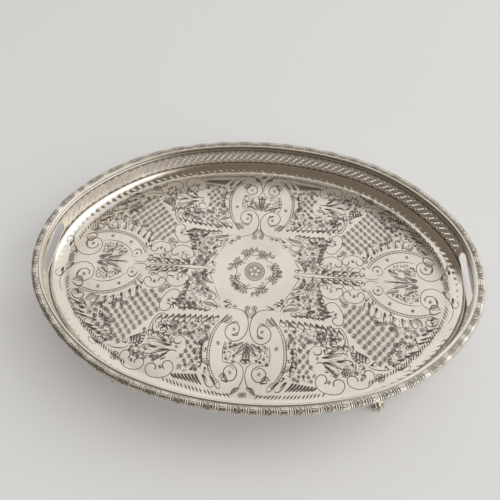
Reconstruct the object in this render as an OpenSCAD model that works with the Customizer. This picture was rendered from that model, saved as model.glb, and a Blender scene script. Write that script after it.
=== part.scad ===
// Oval gallery tray: a flat chased plate with a coved edge, a pierced gallery with a hand hole
// at each end, a struck border moulding in four lengths, and four cast paw feet.
// Z is up and X runs along the tray. The origin is the middle of the tray on the table.
// Sections are drawn as [inset, height]: inset is measured inwards from the tray's outline.

/* [Outline] */
// Length over the border
tray_length = 420; // [410:2:430]
// Width over the border
tray_width = 292; // [288:2:296]
// Radius of the outline at the four shoulders
shoulder_r = 190; // [184:2:196]

/* [Heights] */
// Height of the plate's top above the table
plate_top = 18; // [17:0.5:20]
// Height of the whole tray
tray_height = 52; // [51:0.5:54]

/* [Plate] */
// Thickness of the plate's sheet
sheet = 1.2; // [1:0.1:1.4]
// Inset at which the flat of the plate starts to curve up
cove_start = 22; // [21:0.5:23]
// Radius of the coved edge, inside
cove_r = 14.5; // [14.5:0.5:16]
// Height of the straight lip at the top of the cove
lip_height = 0.7; // [0.5:0.1:1.2]

/* [Gallery] */
// Thickness of the gallery strip
strip = 1; // [0.8:0.1:1.2]
// Inset of the gallery's inner face
gallery_inset = 8.4; // [8.3:0.1:8.8]
// Number of piercings that would fill each end, were there no hand hole
end_count = 17; // [15:2:17]
// Number of piercings along each shoulder
shoulder_count = 16; // [13:1:16]
// Number of piercings along each side
side_count = 24; // [20:1:24]
// Width of a slanted piercing
slot_w = 1.3; // [1:0.1:1.6]
// Distance between the round ends of a slanted piercing
slot_reach = 6.4; // [5.6:0.1:6.8]
// Lean of a slanted piercing
slot_lean = 40; // [34:1:44]

/* [Hand holes] */
// Length of a hand hole
hand_length = 56; // [50:2:58]
// Height of a hand hole
hand_height = 13.5; // [12:0.5:14]

/* [Border] */
// Height of the border moulding
border_height = 7.4; // [7:0.1:7.8]
// Width of the ornamented part's oval section
reeded_width = 7.4; // [7:0.1:7.6]

/* [Feet] */
// Width of a paw across its toes
paw_w = 14; // [12:0.5:14.5]
// Radius of the leg above the paw
leg_r = 3; // [2.6:0.1:3.2]
// Direction in which the feet point, from the tray's long axis
foot_angle = 63.5; // [60:0.5:66]

/* [Hidden] */
$fn = 128;

// Outline: an oval of eight arcs. Neighbours meet with a common tangent, on normals that are the
// long sides of a 3-4-5 and a 7-24-25 triangle, so every centre is a round number.
END_DIR = [0.8, 0.6];      // where an end arc meets a shoulder arc
SIDE_DIR = [0.28, 0.96];   // where a shoulder arc meets a side arc
half_l = tray_length / 2;
half_w = tray_width / 2;
turn_in = SIDE_DIR[0] - END_DIR[0];
turn_out = SIDE_DIR[1] - END_DIR[1];
rest_l = half_l + shoulder_r * turn_in;
rest_w = half_w - shoulder_r * turn_out;
det = (1 - END_DIR[0]) * (1 - SIDE_DIR[1]) - SIDE_DIR[0] * END_DIR[1];
end_r = (rest_l * (1 - SIDE_DIR[1]) - rest_w * SIDE_DIR[0]) / det;
side_r = (rest_w * (1 - END_DIR[0]) - rest_l * END_DIR[1]) / det;
end_x = half_l - end_r;
shoulder_x = end_x + (end_r - shoulder_r) * END_DIR[0];
shoulder_y = (end_r - shoulder_r) * END_DIR[1];
side_y = half_w - side_r;

// An arc is [centre, radius, first direction, last direction, number of piercings].
// The arcs run anticlockwise, and flip() turns one of the right-hand back quarter into another.
function flip(arc, x, y) = [
    [arc[0][0] * x, arc[0][1] * y], arc[1],
    [arc[x * y > 0 ? 2 : 3][0] * x, arc[x * y > 0 ? 2 : 3][1] * y],
    [arc[x * y > 0 ? 3 : 2][0] * x, arc[x * y > 0 ? 3 : 2][1] * y], arc[4]
];
SHOULDER = [[shoulder_x, shoulder_y], shoulder_r, END_DIR, SIDE_DIR, shoulder_count];
SIDE = [[0, side_y], side_r, SIDE_DIR, [-SIDE_DIR[0], SIDE_DIR[1]], side_count];
ARC_RIGHT = [[end_x, 0], end_r, [END_DIR[0], -END_DIR[1]], END_DIR, end_count];
ARC_LEFT = flip(ARC_RIGHT, -1, -1);
ARC_BACK = [SHOULDER, SIDE, flip(SHOULDER, -1, 1)];
ARC_FRONT = [flip(SHOULDER, -1, -1), flip(SIDE, -1, -1), flip(SHOULDER, 1, -1)];
ARCS = concat([ARC_RIGHT], ARC_BACK, [ARC_LEFT], ARC_FRONT);

// Cove and lip. The gallery strip stands outside the lip, where the plate's underside ends.
cove_steps = 12;
flat_overlap = 10;     // width of flat plate that is swept together with the cove
lip_inset = gallery_inset + 1;
under_r = cove_r + sheet;
plate_under = plate_top - sheet;
top_turn = asin((cove_start - lip_inset) / cove_r);
under_turn = asin((cove_start - gallery_inset) / under_r);
lip_top = plate_top + cove_r * (1 - cos(top_turn)) + lip_height;
gallery_foot = plate_under + under_r * (1 - cos(under_turn));
gallery_top = tray_height - border_height;

// Hand holes and piercings share one middle height.
pierced_z = plate_top + 17.2;
pierced_end_r = 1;     // radius of the round ends of a slanted piercing
dot_r = 0.7;           // radius of the small round piercings
dot_z = 4.8;           // height of those above and below the middle
dot_shift = 0.32;      // share of the pitch by which they stand aside
hand_clear = 4.2;      // least distance from a hand hole's end to a piercing's middle

// Feet
toe_r = paw_w / 4.4;
toe_spread = 16;
pad_drop = 1.6;        // thickness of the pad under the plate
pad_half_turn = 3.2;
knee_r = 6.4;

function heading(direction) = atan2(direction[1], direction[0]);
function sweep_of(arc) = (heading(arc[3]) - heading(arc[2]) + 360) % 360;

// Points of a cove of radius r that starts flat at height z0.
function cove(r, z0, turn) = [
    for (i = [0 : cove_steps])
        let (t = turn * i / cove_steps) [cove_start - r * sin(t), z0 + r * (1 - cos(t))]
];

function backwards(points) = [for (i = [len(points) - 1 : -1 : 0]) points[i]];

// Points along an arc, at an inset, for the edge of the flat plate.
function along(arc, inset, steps) = [
    for (i = [0 : steps - 1])
        let (t = heading(arc[2]) + sweep_of(arc) * i / steps, r = arc[1] - inset)
            arc[0] + r * [cos(t), sin(t)]
];

// A ring whose section is a list of [inset, height] points.
module ring(arc, section)
    rotate_extrude()
        polygon([for (p = section) [arc[1] - p[0], p[1]]]);

// A section swept along one arc of the outline: a ring cut off by two vertical planes.
module sweep(arc, section)
    translate(arc[0])
        intersection() {
            ring(arc, section);
            linear_extrude(tray_height + 1)
                polygon([[0, 0], arc[2] * 2 * tray_length, arc[3] * 2 * tray_length]);
        }

// Puts its children on an arc at an angle: X points outwards, Z up, origin on the outline.
module place(arc, angle)
    translate(arc[0] + arc[1] * [cos(angle), sin(angle)])
        rotate(angle)
            children();

// ---- plate ----
plate_section = concat(
    [[cove_start + flat_overlap, plate_top]],
    cove(cove_r, plate_top, top_turn),
    [[lip_inset, lip_top], [gallery_inset, lip_top]],
    backwards(cove(under_r, plate_under, under_turn)),
    [[cove_start + flat_overlap, plate_under]]
);

module tray_plate()
    color("lightgoldenrodyellow") {
        for (arc = ARCS) sweep(arc, plate_section);
        translate([0, 0, plate_under])
            linear_extrude(sheet)
                polygon([for (arc = ARCS) each along(arc, cove_start + flat_overlap / 2, 10)]);
    }

// ---- gallery ----
strip_section = [
    [gallery_inset, gallery_foot],
    [gallery_inset - strip, gallery_foot],
    [gallery_inset - strip, gallery_top],
    [gallery_inset, gallery_top],
];

// One repeat of the piercing: a slanted slot with round ends and a dot beyond each end.
module piercing(pitch)
    translate([-gallery_inset - strip, 0, pierced_z])
        rotate([0, 90, 0]) {
            rotate(slot_lean) {
                translate([-slot_reach / 2, -slot_w / 2, 0]) cube([slot_reach, slot_w, 3 * strip]);
                for (side = [-1, 1])
                    translate([side * slot_reach / 2, 0, 0])
                        cylinder(h = 3 * strip, r = pierced_end_r, $fn = 24);
            }
            for (side = [-1, 1])
                translate([side * dot_z, -side * dot_shift * pitch, 0])
                    cylinder(h = 3 * strip, r = dot_r, $fn = 24);
        }

// Piercings along an arc, leaving out those nearer than clear to the arc's middle.
module piercings(arc, clear = 0)
    for (i = [0 : arc[4] - 1]) {
        wall_r = arc[1] - gallery_inset;
        turn = sweep_of(arc) * (i + 0.5) / arc[4];
        from_middle = abs(turn - sweep_of(arc) / 2) * wall_r * PI / 180;
        if (from_middle >= clear)
            place(arc, heading(arc[2]) + turn) piercing(wall_r * sweep_of(arc) * PI / 180 / arc[4]);
    }

module gallery_side(arcs)
    color("tan")
        difference() {
            for (arc = arcs) sweep(arc, strip_section);
            for (arc = arcs) piercings(arc);
        }

// A slot with round ends, through the wall at the right-hand end of the tray.
module hand_hole()
    translate([half_l - 20, 0, pierced_z])
        rotate([0, 90, 0]) {
            reach = hand_length - hand_height;
            translate([-hand_height / 2, -reach / 2, 0]) cube([hand_height, reach, 25]);
            for (side = [-1, 1])
                translate([0, side * reach / 2, 0]) cylinder(h = 25, d = hand_height);
        }

module gallery_end(arc, facing)
    color("tan")
        difference() {
            sweep(arc, strip_section);
            piercings(arc, hand_length / 2 + hand_clear);
            rotate(facing) hand_hole();
        }

// ---- border ----
// An ornamented part with an oval top stands outside a plain bead. A deep groove parts that bead
// from a small one below it, and a second groove runs where the gallery starts.
crown = 3.4;           // rise of the oval top
crown_end = 35;        // where the oval meets the bead, as an angle from the oval's inner end
crown_z = tray_height - crown;
border_section = concat(
    [
        for (p = [
            [0, 0], [0, 0.6], [0.55, 1.1], [0.8, 1.8], [0.75, 2.6], [0.4, 3.2], [-0.4, 3.5],
            [-0.6, 4], [-0.4, 4.5], [0.5, 4.8], [0.8, 5.3], [0.7, 5.9], [0.2, 6.4], [-0.6, 6.6],
            [-1.3, 6.3],
        ])
            [gallery_inset + p[0], gallery_top + p[1]]
    ],
    [
        for (t = [180 - crown_end : -14.5 : 0])
            [reeded_width / 2 * (1 - cos(t)), crown_z + crown * sin(t)]
    ],
    [[0.3, crown_z - 0.8], [1.9, gallery_top]]
);

module border(arcs)
    color("rosybrown")
        for (arc = arcs) sweep(arc, border_section);

// ---- feet ----
// The space that the plate and the gallery take, over one shoulder.
above_section = concat(
    [[cove_start + flat_overlap, tray_height], [cove_start + flat_overlap, plate_under]],
    cove(under_r, plate_under, under_turn),
    [[gallery_inset - strip, gallery_foot], [gallery_inset - strip, tray_height]]
);

// A pad that follows the underside of the cove.
pad_section = concat(
    [[cove_start + 4, plate_under - pad_drop], [cove_start + 4, plate_under]],
    cove(under_r, plate_under, under_turn * 0.8),
    backwards(cove(under_r + pad_drop, plate_under - pad_drop, under_turn * 0.8))
);

// One toe, pointing along X, with its tip at the origin and its sole at height 0.
module toe() {
    translate([-toe_r, 0, toe_r * 0.8]) sphere(toe_r);
    translate([-toe_r, 0, toe_r * 0.8])
        rotate([0, -68, 0]) cylinder(h = 2 * toe_r, r = toe_r * 0.95);
    translate([-toe_r * 2.9, 0, toe_r * 1.5]) sphere(toe_r * 1.1);
}

module paw()
    intersection() {
        for (side = [-1, 0, 1])
            translate([-toe_r * 3, 0, 0])
                rotate(side * toe_spread)
                    translate([toe_r * (3 - 0.25 * abs(side)), side * toe_r * 0.6, 0]) toe();
        translate([-30, -30, 0]) cube([60, 60, 30]);
    }

// The leg bows outwards from the pad and turns down into the paw.
module leg() {
    ankle = [-toe_r * 3, 0, toe_r * 1.5];
    translate(ankle) sphere(leg_r * 1.15);
    translate(ankle + [-knee_r, 0, 0])
        rotate([90, 0, 0]) rotate_extrude(angle = 62) translate([knee_r, 0]) circle(leg_r);
    top = ankle + [-knee_r + knee_r * cos(62), 0, knee_r * sin(62)];
    translate(top) rotate([0, -28, 0]) cylinder(h = 9, r1 = leg_r, r2 = leg_r * 1.4);
}

module foot(arc, angle, tip_inset)
    color("dimgray")
        difference() {
            union() {
                intersection() {
                    translate(arc[0]) ring(arc, pad_section);
                    place(arc, angle) translate([-40, -8, 0]) cube([40, 16, tray_height]);
                }
                place(arc, angle)
                    translate([-tip_inset, 0, 0]) {
                        paw();
                        leg();
                    }
            }
            translate(arc[0]) ring(arc, above_section);
        }

tray_plate();
gallery_side(ARC_FRONT);  // gallery_front
gallery_side(ARC_BACK);  // gallery_back
gallery_end(ARC_LEFT, 180);  // gallery_left
gallery_end(ARC_RIGHT, 0);  // gallery_right
border(ARC_FRONT);  // border_front
border(ARC_BACK);  // border_back
border([ARC_LEFT]);  // border_left
border([ARC_RIGHT]);  // border_right
foot(ARC_FRONT[0], 180 + foot_angle, 4);  // foot_front_left
foot(ARC_FRONT[2], 360 - foot_angle, 0.5);  // foot_front_right
foot(ARC_BACK[2], 180 - foot_angle, 2);  // foot_back_left
foot(ARC_BACK[0], foot_angle, 2);  // foot_back_right
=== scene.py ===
import math
import random

import bmesh
import bpy
import numpy as np
from mathutils import Matrix, Vector
from mathutils.geometry import delaunay_2d_cdt


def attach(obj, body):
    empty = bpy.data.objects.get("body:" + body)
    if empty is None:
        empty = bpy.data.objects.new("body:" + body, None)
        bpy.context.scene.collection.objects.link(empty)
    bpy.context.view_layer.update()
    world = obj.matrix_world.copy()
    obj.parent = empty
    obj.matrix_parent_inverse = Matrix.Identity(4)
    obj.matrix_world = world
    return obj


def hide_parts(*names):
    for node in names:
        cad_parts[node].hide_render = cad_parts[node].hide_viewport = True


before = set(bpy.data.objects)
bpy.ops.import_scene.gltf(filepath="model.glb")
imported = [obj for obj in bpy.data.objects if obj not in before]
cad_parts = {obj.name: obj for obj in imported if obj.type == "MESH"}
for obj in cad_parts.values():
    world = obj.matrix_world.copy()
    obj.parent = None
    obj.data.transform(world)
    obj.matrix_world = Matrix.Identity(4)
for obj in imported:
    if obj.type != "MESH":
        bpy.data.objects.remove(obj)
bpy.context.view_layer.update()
MM = 0.001

# ---- the tray's outline: eight arcs, in millimetres, run anticlockwise ----
T1 = math.atan2(0.6, 0.8)       # end arc to shoulder arc
T2 = math.atan2(0.96, 0.28)     # shoulder arc to side arc
HALF = math.pi
ARCS = [
    (102.0, 0.0, 108.0, -T1, T1),
    (36.4, -49.2, 190.0, T1, T2),
    (0.0, -174.0, 320.0, T2, HALF - T2),
    (-36.4, -49.2, 190.0, HALF - T2, HALF - T1),
    (-102.0, 0.0, 108.0, HALF - T1, HALF + T1),
    (-36.4, 49.2, 190.0, HALF + T1, HALF + T2),
    (0.0, 174.0, 320.0, HALF + T2, 2 * HALF - T2),
    (36.4, 49.2, 190.0, 2 * HALF - T2, 2 * HALF - T1),
]
PLATE_TOP = 18.0
SHEET = 1.2
COVE_START = 22.0   # inset at which the flat of the plate ends
COVE_R = 14.5
GALLERY_IN = 8.4    # inset of the gallery's inner face
STRIP = 1.0         # thickness of the gallery
GALLERY_TOP = 44.6
TOP = 52.0


def walk(arcs, inset, count):
    """count + 1 stations evenly spread along some arcs, as (arc, angle, distance so far)."""
    lengths = [(a[2] - inset) * (a[4] - a[3]) for a in arcs]
    total = sum(lengths)
    out = []
    for i in range(count + 1):
        s = total * i / count
        left = s
        for a, n in zip(arcs, lengths):
            if left <= n + 1e-9 or a is arcs[-1]:
                out.append((a, a[3] + min(left / n, 1.0) * (a[4] - a[3]), s))
                break
            left -= n
    return out


def on_outline(station, inset):
    """x, y of a station moved inwards by inset."""
    (cx, cy, r, _, _), t = station[0], station[1]
    return cx + (r - inset) * math.cos(t), cy + (r - inset) * math.sin(t)


def through(points, spacing=1.3):
    """A smooth line through points, with stations about spacing apart."""
    p = np.asarray(points, float)
    if len(p) == 2:
        n = max(2, int(np.linalg.norm(p[1] - p[0]) / spacing) + 1)
        return p[0] + (p[1] - p[0]) * np.linspace(0, 1, n)[:, None]
    ends = np.vstack([2 * p[0] - p[1], p, 2 * p[-1] - p[-2]])
    out = []
    for a, b, c, d in zip(ends, ends[1:], ends[2:], ends[3:]):
        n = max(2, int(np.linalg.norm(c - b) / spacing) + 1)
        t = np.linspace(0, 1, n, endpoint=False)[:, None]
        out.append(0.5 * (2 * b + (c - a) * t + (2 * a - 5 * b + 4 * c - d) * t * t
                          + (3 * b - a - 3 * c + d) * t ** 3))
    return np.vstack(out + [p[-1:]])


def runs(p):
    """Unit directions along a line of points."""
    t = np.gradient(p, axis=0)
    return t / np.maximum(np.linalg.norm(t, axis=1), 1e-9)[:, None]


def make_mesh(name, verts, faces, material, depth=None):
    """A mesh object from millimetre points."""
    mesh = bpy.data.meshes.new(name)
    co = np.asarray(verts, float) * MM
    mesh.from_pydata(co.tolist(), [], [list(map(int, f)) for f in faces])
    mesh.polygons.foreach_set("use_smooth", [True] * len(mesh.polygons))
    if depth is not None:
        layer = mesh.attributes.new("depth", "FLOAT", "POINT")
        layer.data.foreach_set("value", np.asarray(depth, np.float32))
    mesh.materials.append(material)
    mesh.update()
    obj = bpy.data.objects.new(name, mesh)
    bpy.context.scene.collection.objects.link(obj)
    return obj


def grid_faces(rows, cols, closed_rows=False, closed_cols=False, first=0):
    """Quads over a grid of points numbered row by row."""
    i = np.arange(rows if closed_rows else rows - 1)[:, None]
    j = np.arange(cols if closed_cols else cols - 1)[None, :]
    i2, j2 = (i + 1) % rows, (j + 1) % cols
    quads = np.stack([i * cols + j, i * cols + j2, i2 * cols + j2, i2 * cols + j], -1)
    return (quads.reshape(-1, 4) + first).tolist()


def add(obj, slot, *nodes):
    """The piece rides on the tray's only body."""
    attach(obj, "root")
    if nodes:
        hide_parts(*nodes)
    return obj


# ---- materials ----
GRAIN, BRUSH = 900.0, 0.02          # scale and strength of the finest scratches
DARKENING_TINT = (0.22, 0.2, 0.17)       # how much of the tarnish colour is left where the darkening is full: painted shade with some dirt


def node(tree, kind, inputs, output, **settings):
    """Adds a shader node and returns one of its outputs. An input is a value or what feeds it."""
    made = tree.nodes.new("ShaderNode" + kind)
    for key, value in settings.items():
        setattr(made, key, value)
    for key, value in inputs.items():
        if isinstance(value, bpy.types.NodeSocket):
            tree.links.new(value, made.inputs[key])
        else:
            made.inputs[key].default_value = value
    return made.outputs[output]


def map_range(tree, value, low, high, to_low=0.0, to_high=1.0, **settings):
    return node(tree, "MapRange", {"Value": value, "From Min": low, "From Max": high,
                                   "To Min": to_low, "To Max": to_high}, "Result", **settings)


def mix(tree, factor, a, b):
    return node(tree, "Mix", {"Factor": factor, "A": a, "B": b}, "Result", data_type="RGBA")


def silver(name, light, dark, rough, tarnish, depth=True, metal=1.0, polish=None):
    """Tarnished silver: patches of brown film, fine scratches, and darkening where depth is high,
    which is painted shade with some dirt at the border and the gallery's seams.

    polish is (low, high, change): the roughness changes by change between two heights.
    """
    m = bpy.data.materials.new(name)
    m.use_nodes = True
    tree = m.node_tree
    place = node(tree, "TexCoord", {}, "Object")
    patches = node(tree, "TexNoise", {"Vector": place, "Scale": 26.0, "Detail": 5.0,
                                      "Roughness": 0.6}, "Fac")
    colour = mix(tree, map_range(tree, patches, 0.42, 0.75, 0.0, tarnish), (*light, 1), (*dark, 1))
    if depth:
        # darkening from the depth attribute: painted shade, with some dirt, under the border's
        # beads and along the gallery's seams; darker hollows on the feet and in the carving
        darkening = node(tree, "Attribute", {}, "Fac", attribute_name="depth")
        black = [channel * tint for channel, tint in zip(dark, DARKENING_TINT)]
        colour = mix(tree, darkening, colour, (*black, 1))
    finish = map_range(tree, patches, 0.3, 0.7, rough - 0.05, rough + 0.08)
    if polish:
        low, high, change = polish
        height = node(tree, "SeparateXYZ", {"Vector": place}, "Z")
        rise = map_range(tree, height, low * MM, high * MM, 0.0, change)
        finish = node(tree, "Math", {0: finish, 1: rise}, "Value")
    fine = node(tree, "TexNoise", {"Vector": place, "Scale": GRAIN, "Detail": 3.0}, "Fac")
    bump = node(tree, "Bump", {"Height": fine, "Strength": BRUSH, "Distance": 0.0002}, "Normal")
    bsdf = tree.nodes["Principled BSDF"]
    bsdf.inputs["Metallic"].default_value = metal
    for key, value in (("Base Color", colour), ("Roughness", finish), ("Normal", bump)):
        tree.links.new(value, bsdf.inputs[key])
    return m


LIGHT = (0.86, 0.81, 0.73)
BROWN = (0.50, 0.43, 0.34)
PLATE_MAT = silver("plate_silver", LIGHT, BROWN, 0.27, 0.22, polish=(18.1, 19.0, -0.20))
WALL_MAT = silver("gallery_silver", (0.88, 0.82, 0.75), BROWN, 0.24, 0.3, metal=0.6)
BORDER_MAT = silver("border_silver", (0.86, 0.81, 0.74), BROWN, 0.17, 0.35)
FOOT_MAT = silver("foot_silver", (0.70, 0.64, 0.55), (0.36, 0.30, 0.23), 0.27, 0.6)
CHASE_MAT = silver("chased_lines", (0.145, 0.125, 0.105), (0.07, 0.059, 0.047), 0.42, 0.6, False)


# ---- plate: flat middle, coved edge, lip, and underside ----
AROUND = 900        # stations round the plate
FLAT_IN = 32.0      # inset of the plate's flat field
FLAT_RINGS, COVE_RINGS = 32, 32
HUB = 0.012         # the innermost ring, as a share of the flat field
LIP = ((9.4, 25.6, 0), (9.33, 25.88, 0), (9.2, 26.0, 0), (9.08, 25.92, 0.3), (9.0, 25.6, 0.9),
       (8.8, 25.1, 1), (8.45, 24.8, 1))                 # inset, height, darkening: painted shade, with some dirt, where the lip turns down against the gallery
# how much darker the plate's underside is drawn
UNDERSIDE_DARKENING = 0.15


def waves(x, y):
    """Hand-finished unevenness of the plate, in millimetres."""
    return (0.030 * np.sin(0.131 * x + 1.1 * np.sin(0.047 * y)) * np.cos(0.117 * y + 0.7)
            + 0.018 * np.sin(0.243 * y - 0.121 * x + 2.0) * np.cos(0.205 * x + 0.4)
            + 0.008 * np.sin(0.47 * x + 0.8) * np.sin(0.43 * y + 2.1))


def dents(x, y, inset):
    """Two rows of slanting dents round the cove, and faint hammering between, in millimetres."""
    def band(depth, middle, width):
        return depth * np.exp(-((inset - middle) / width) ** 2)
    turn = 75 * (np.arctan2(y, x) + np.arctan2(1.49 * y, x)) + 0.5 * inset
    hammer = np.sin(x / 1.9 + 1.3 * np.sin(y / 3.1)) * np.cos(y / 2.1 + 0.9 * np.sin(x / 2.7))
    return (band(0.09, 18.9, 1.1) * np.cos(turn) + band(0.36, 14.4, 0.95) * np.cos(turn + 2.6)
            + band(0.11, 14.5, 3.6) * hammer)


def cove_z(inset, r, z0):
    """Height of a coved section of radius r that is flat further in than COVE_START."""
    d = np.maximum(COVE_START - inset, 0.0)
    return z0 + r - np.sqrt(np.maximum(r * r - d * d, 0.0))


def surface(x, y, inset):
    """Height of the plate's upper face."""
    return (cove_z(inset, COVE_R, PLATE_TOP) + waves(x, y) * np.minimum(1, inset / 20)
            + dents(x, y, inset))


def build_plate():
    stations = walk(ARCS, 30, AROUND)[:-1]

    def loop(inset):
        return np.array([on_outline(s, inset) for s in stations])

    rim = loop(FLAT_IN)
    under = PLATE_TOP - SHEET
    rows = []
    for k in np.linspace(HUB, 1, FLAT_RINGS)[:-1]:
        xy = rim * k
        rows.append((xy, PLATE_TOP + waves(xy[:, 0], xy[:, 1]), 0))
    for d in [*np.linspace(FLAT_IN, COVE_START, 8),
              *np.linspace(COVE_START, LIP[0][0], COVE_RINGS)[1:]]:
        xy = loop(d)
        rows.append((xy, surface(xy[:, 0], xy[:, 1], d), 0))
    # the lip, with painted shade and some dirt where it turns down against the gallery
    rows += [(loop(d), z, darkening) for d, z, darkening in LIP]
    for d in [*np.linspace(8.42, COVE_START, 10), *np.linspace(COVE_START, FLAT_IN, 3)[1:]]:
        rows.append((loop(d), cove_z(d, COVE_R + SHEET, under), UNDERSIDE_DARKENING))
    rows += [(rim * k, under, UNDERSIDE_DARKENING) for k in np.linspace(1, HUB, 8)[1:]]
    verts = np.zeros((len(rows), AROUND, 3))
    for i, (xy, z, _) in enumerate(rows):
        verts[i, :, :2] = xy
        verts[i, :, 2] = z
    n, last = len(rows) * AROUND, (len(rows) - 1) * AROUND
    middle = PLATE_TOP + float(waves(np.array(0.0), np.array(0.0)))
    points = np.vstack([verts.reshape(-1, 3), [0, 0, middle], [0, 0, under]])
    faces = grid_faces(len(rows), AROUND, closed_cols=True)
    for j in range(AROUND):
        k = (j + 1) % AROUND
        faces += [[n, k, j], [n + 1, last + j, last + k]]
    depth = [*np.repeat([row[2] for row in rows], AROUND), 0, UNDERSIDE_DARKENING]
    return make_mesh("plate", points, [f[::-1] for f in faces], PLATE_MAT, depth=depth)


add(build_plate(), "plate_silver", "tray_plate")


# ---- border: reed and ribbon moulding in four lengths ----
PANEL = 12.3        # length of one reeded or ribboned panel
OVAL_HALF = 3.7     # half width and rise of the ornamented part's oval section
OVAL_RISE = 3.4
OVAL_END = 35       # where the plain bead starts, as an angle from the oval's inner end
OVAL_ROWS = 34
ACROSS = 9.4        # width of the relief, measured over the oval
RUN_INSET = 3.0     # the pattern is spaced along the outline moved in by this
CARVE = 0.55        # depth of the deepest grooves
STATION = 0.297     # distance between sections
LOWER_BEAD = [(8.4, 45.2), (8.95, 45.6), (9.2, 46.4), (9.1, 47.2), (8.7, 47.8), (8.0, 48.05)]
UPPER_BEAD = [(8.0, 49.15), (8.85, 49.3), (9.2, 49.9), (9.1, 50.5), (8.6, 51.0), (7.8, 51.2),
              (7.1, 50.95), (6.85, 50.6)]


def smooth(a, b, x):
    t = np.clip((x - a) / (b - a), 0, 1)
    return t * t * (3 - 2 * t)


def relief(s, w):
    """Depth of carving, 0 at the top of the relief to 1 in the grooves. w runs 0..1 across."""
    k = np.floor(s / PANEL)
    u = s / PANEL - k                          # 0..1 along the panel
    ribbon = np.mod(k, 2) > 0.5
    x = (u - 0.5) * PANEL                      # millimetres from the panel's middle
    y = (w - 0.5) * ACROSS
    # reeds, parted by a pair of crossed cords at a third of the panel
    reeds = 0.85 * (1 - np.abs(np.sin(np.pi * 5 * w)) ** 0.45)
    cord = np.minimum(np.abs(x - 1.6 + 0.62 * y), np.abs(x - 1.6 - 0.62 * y))
    tie = 1 - smooth(0.26, 0.46, cord)
    tied = 0.9 * (1 - tie) * reeds + 0.5 * np.exp(-((cord - 0.55) / 0.2) ** 2)
    panel_a = np.where(tie > 0, tied, reeds)
    # ribbons that cross over a boss, with curls in the four corners
    panel_b = 0.38 + 0.30 * np.cos(2 * np.pi * (x + 0.5 * np.abs(y)) / 0.9)
    for way in (1, -1):
        q = np.abs(x - way * 1.05 * y) / 1.45
        band = 0.12 + 0.30 * (0.5 + 0.5 * np.cos(2 * np.pi * q / 1.1))
        panel_b = np.where(q < 1.25, band, panel_b)
        panel_b = np.where(np.abs(q - 1.25) < 0.14, 0.9, panel_b)
    for cx, cy in ((4.4, 0.0), (-4.4, 0.0), (0.0, 3.9), (0.0, -3.9)):
        turn = np.arctan2(y - cy, x - cx)
        q = np.hypot(x - cx, y - cy)
        curl = 0.45 - 0.45 * np.cos(q * 5.6 + turn)
        panel_b = np.where(q < 1.5, curl, panel_b)
    r = np.hypot(x, y)
    petals = 1.15 + 0.3 * np.cos(5 * np.arctan2(y, x))
    panel_b = np.where(r < petals, 0.1 + 0.6 * (np.abs(r - 0.45) < 0.12), panel_b)
    panel_b = np.where(np.abs(r - petals) < 0.18, 0.85, panel_b)
    out = np.where(ribbon, panel_b, panel_a)
    # a bar and a bowed bar at each end of a panel
    near = np.minimum(u, 1 - u) * PANEL
    bow = near - 0.8 * (1 - (2 * w - 1) ** 2)
    bars = np.maximum(np.exp(-(near / 0.3) ** 4), np.exp(-((bow - 1.4) / 0.28) ** 4))
    nicks = np.maximum(np.exp(-((near - 0.72) / 0.24) ** 2), np.exp(-((bow - 2.0) / 0.26) ** 2))
    out = np.where(near < bow - near + 1.2, out * smooth(0.9, 1.4, near), out)
    return np.clip(out * (1 - bars) + nicks * (1 - bars), 0, 1)


def border_rows(s):
    """The section as rows of (inset, height, darkening) for every station."""
    # painted shade, with some dirt: dark at the gallery's top, under the lower bead, in the recess
    # between the beads and in the gutter between the upper bead and the crown
    rows = [(8.4, GALLERY_TOP, 0.8)]
    rows += [(d, z, 0.7 if z < 45.5 else 0.5 if z > 48 else 0.05)
             for d, z in through(LOWER_BEAD, 0.55)]
    rows += [(7.8, 48.3, 1.0), (7.75, 48.7, 1.0), (7.85, 49.0, 1.0)]
    rows += [(d, z, 0.5 if z < 49.3 else 0.7 if d < 6.95 else 0.03)
             for d, z in through(UPPER_BEAD, 0.5)]
    rows = [(np.full(len(s), d), np.full(len(s), z), np.full(len(s), g)) for d, z, g in rows]
    base = TOP - OVAL_RISE
    for w in np.linspace(1, 0, OVAL_ROWS):
        t = math.radians(180 - OVAL_END) * w
        cut = relief(s, np.full(len(s), w)) * smooth(0.0, 0.06, w) * smooth(0.0, 0.04, 1 - w)
        nx, nz = -math.cos(t) / OVAL_HALF, math.sin(t) / OVAL_RISE
        size = math.hypot(nx, nz)
        rows.append((OVAL_HALF * (1 - math.cos(t)) - CARVE * cut * nx / size,
                     base + OVAL_RISE * math.sin(t) - CARVE * cut * nz / size, cut))
    # the crown's outer side and the border's underside are drawn a little darker
    for d, z in ((0.1, 48.15), (0.3, 47.8), (1.0, 46.4), (1.9, GALLERY_TOP), (5.0, GALLERY_TOP)):
        rows.append((np.full(len(s), d), np.full(len(s), z), np.full(len(s), 0.15)))
    return rows


def build_border(name, arcs):
    length = sum((a[2] - RUN_INSET) * (a[4] - a[3]) for a in arcs)
    stations = walk(arcs, RUN_INSET, int(length / STATION))
    panels = 2 * round(length / PANEL / 2) + 1
    s = np.array([st[2] for st in stations]) / length * panels * PANEL
    rows = border_rows(s)
    centre = np.array([st[0][:3] for st in stations])
    angle = np.array([st[1] for st in stations])
    n, m = len(s), len(rows)
    verts = np.zeros((m, n, 3))
    for i, (d, z, _) in enumerate(rows):
        r = centre[:, 2] - d
        verts[i, :, 0] = centre[:, 0] + r * np.cos(angle)
        verts[i, :, 1] = centre[:, 1] + r * np.sin(angle)
        verts[i, :, 2] = z
    faces = grid_faces(m, n, closed_rows=True)
    faces.append([i * n for i in range(m)])
    faces.append([i * n + n - 1 for i in range(m)][::-1])
    return make_mesh(name, verts.reshape(-1, 3), faces, BORDER_MAT,
                     depth=np.concatenate([row[2] for row in rows]))


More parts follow.
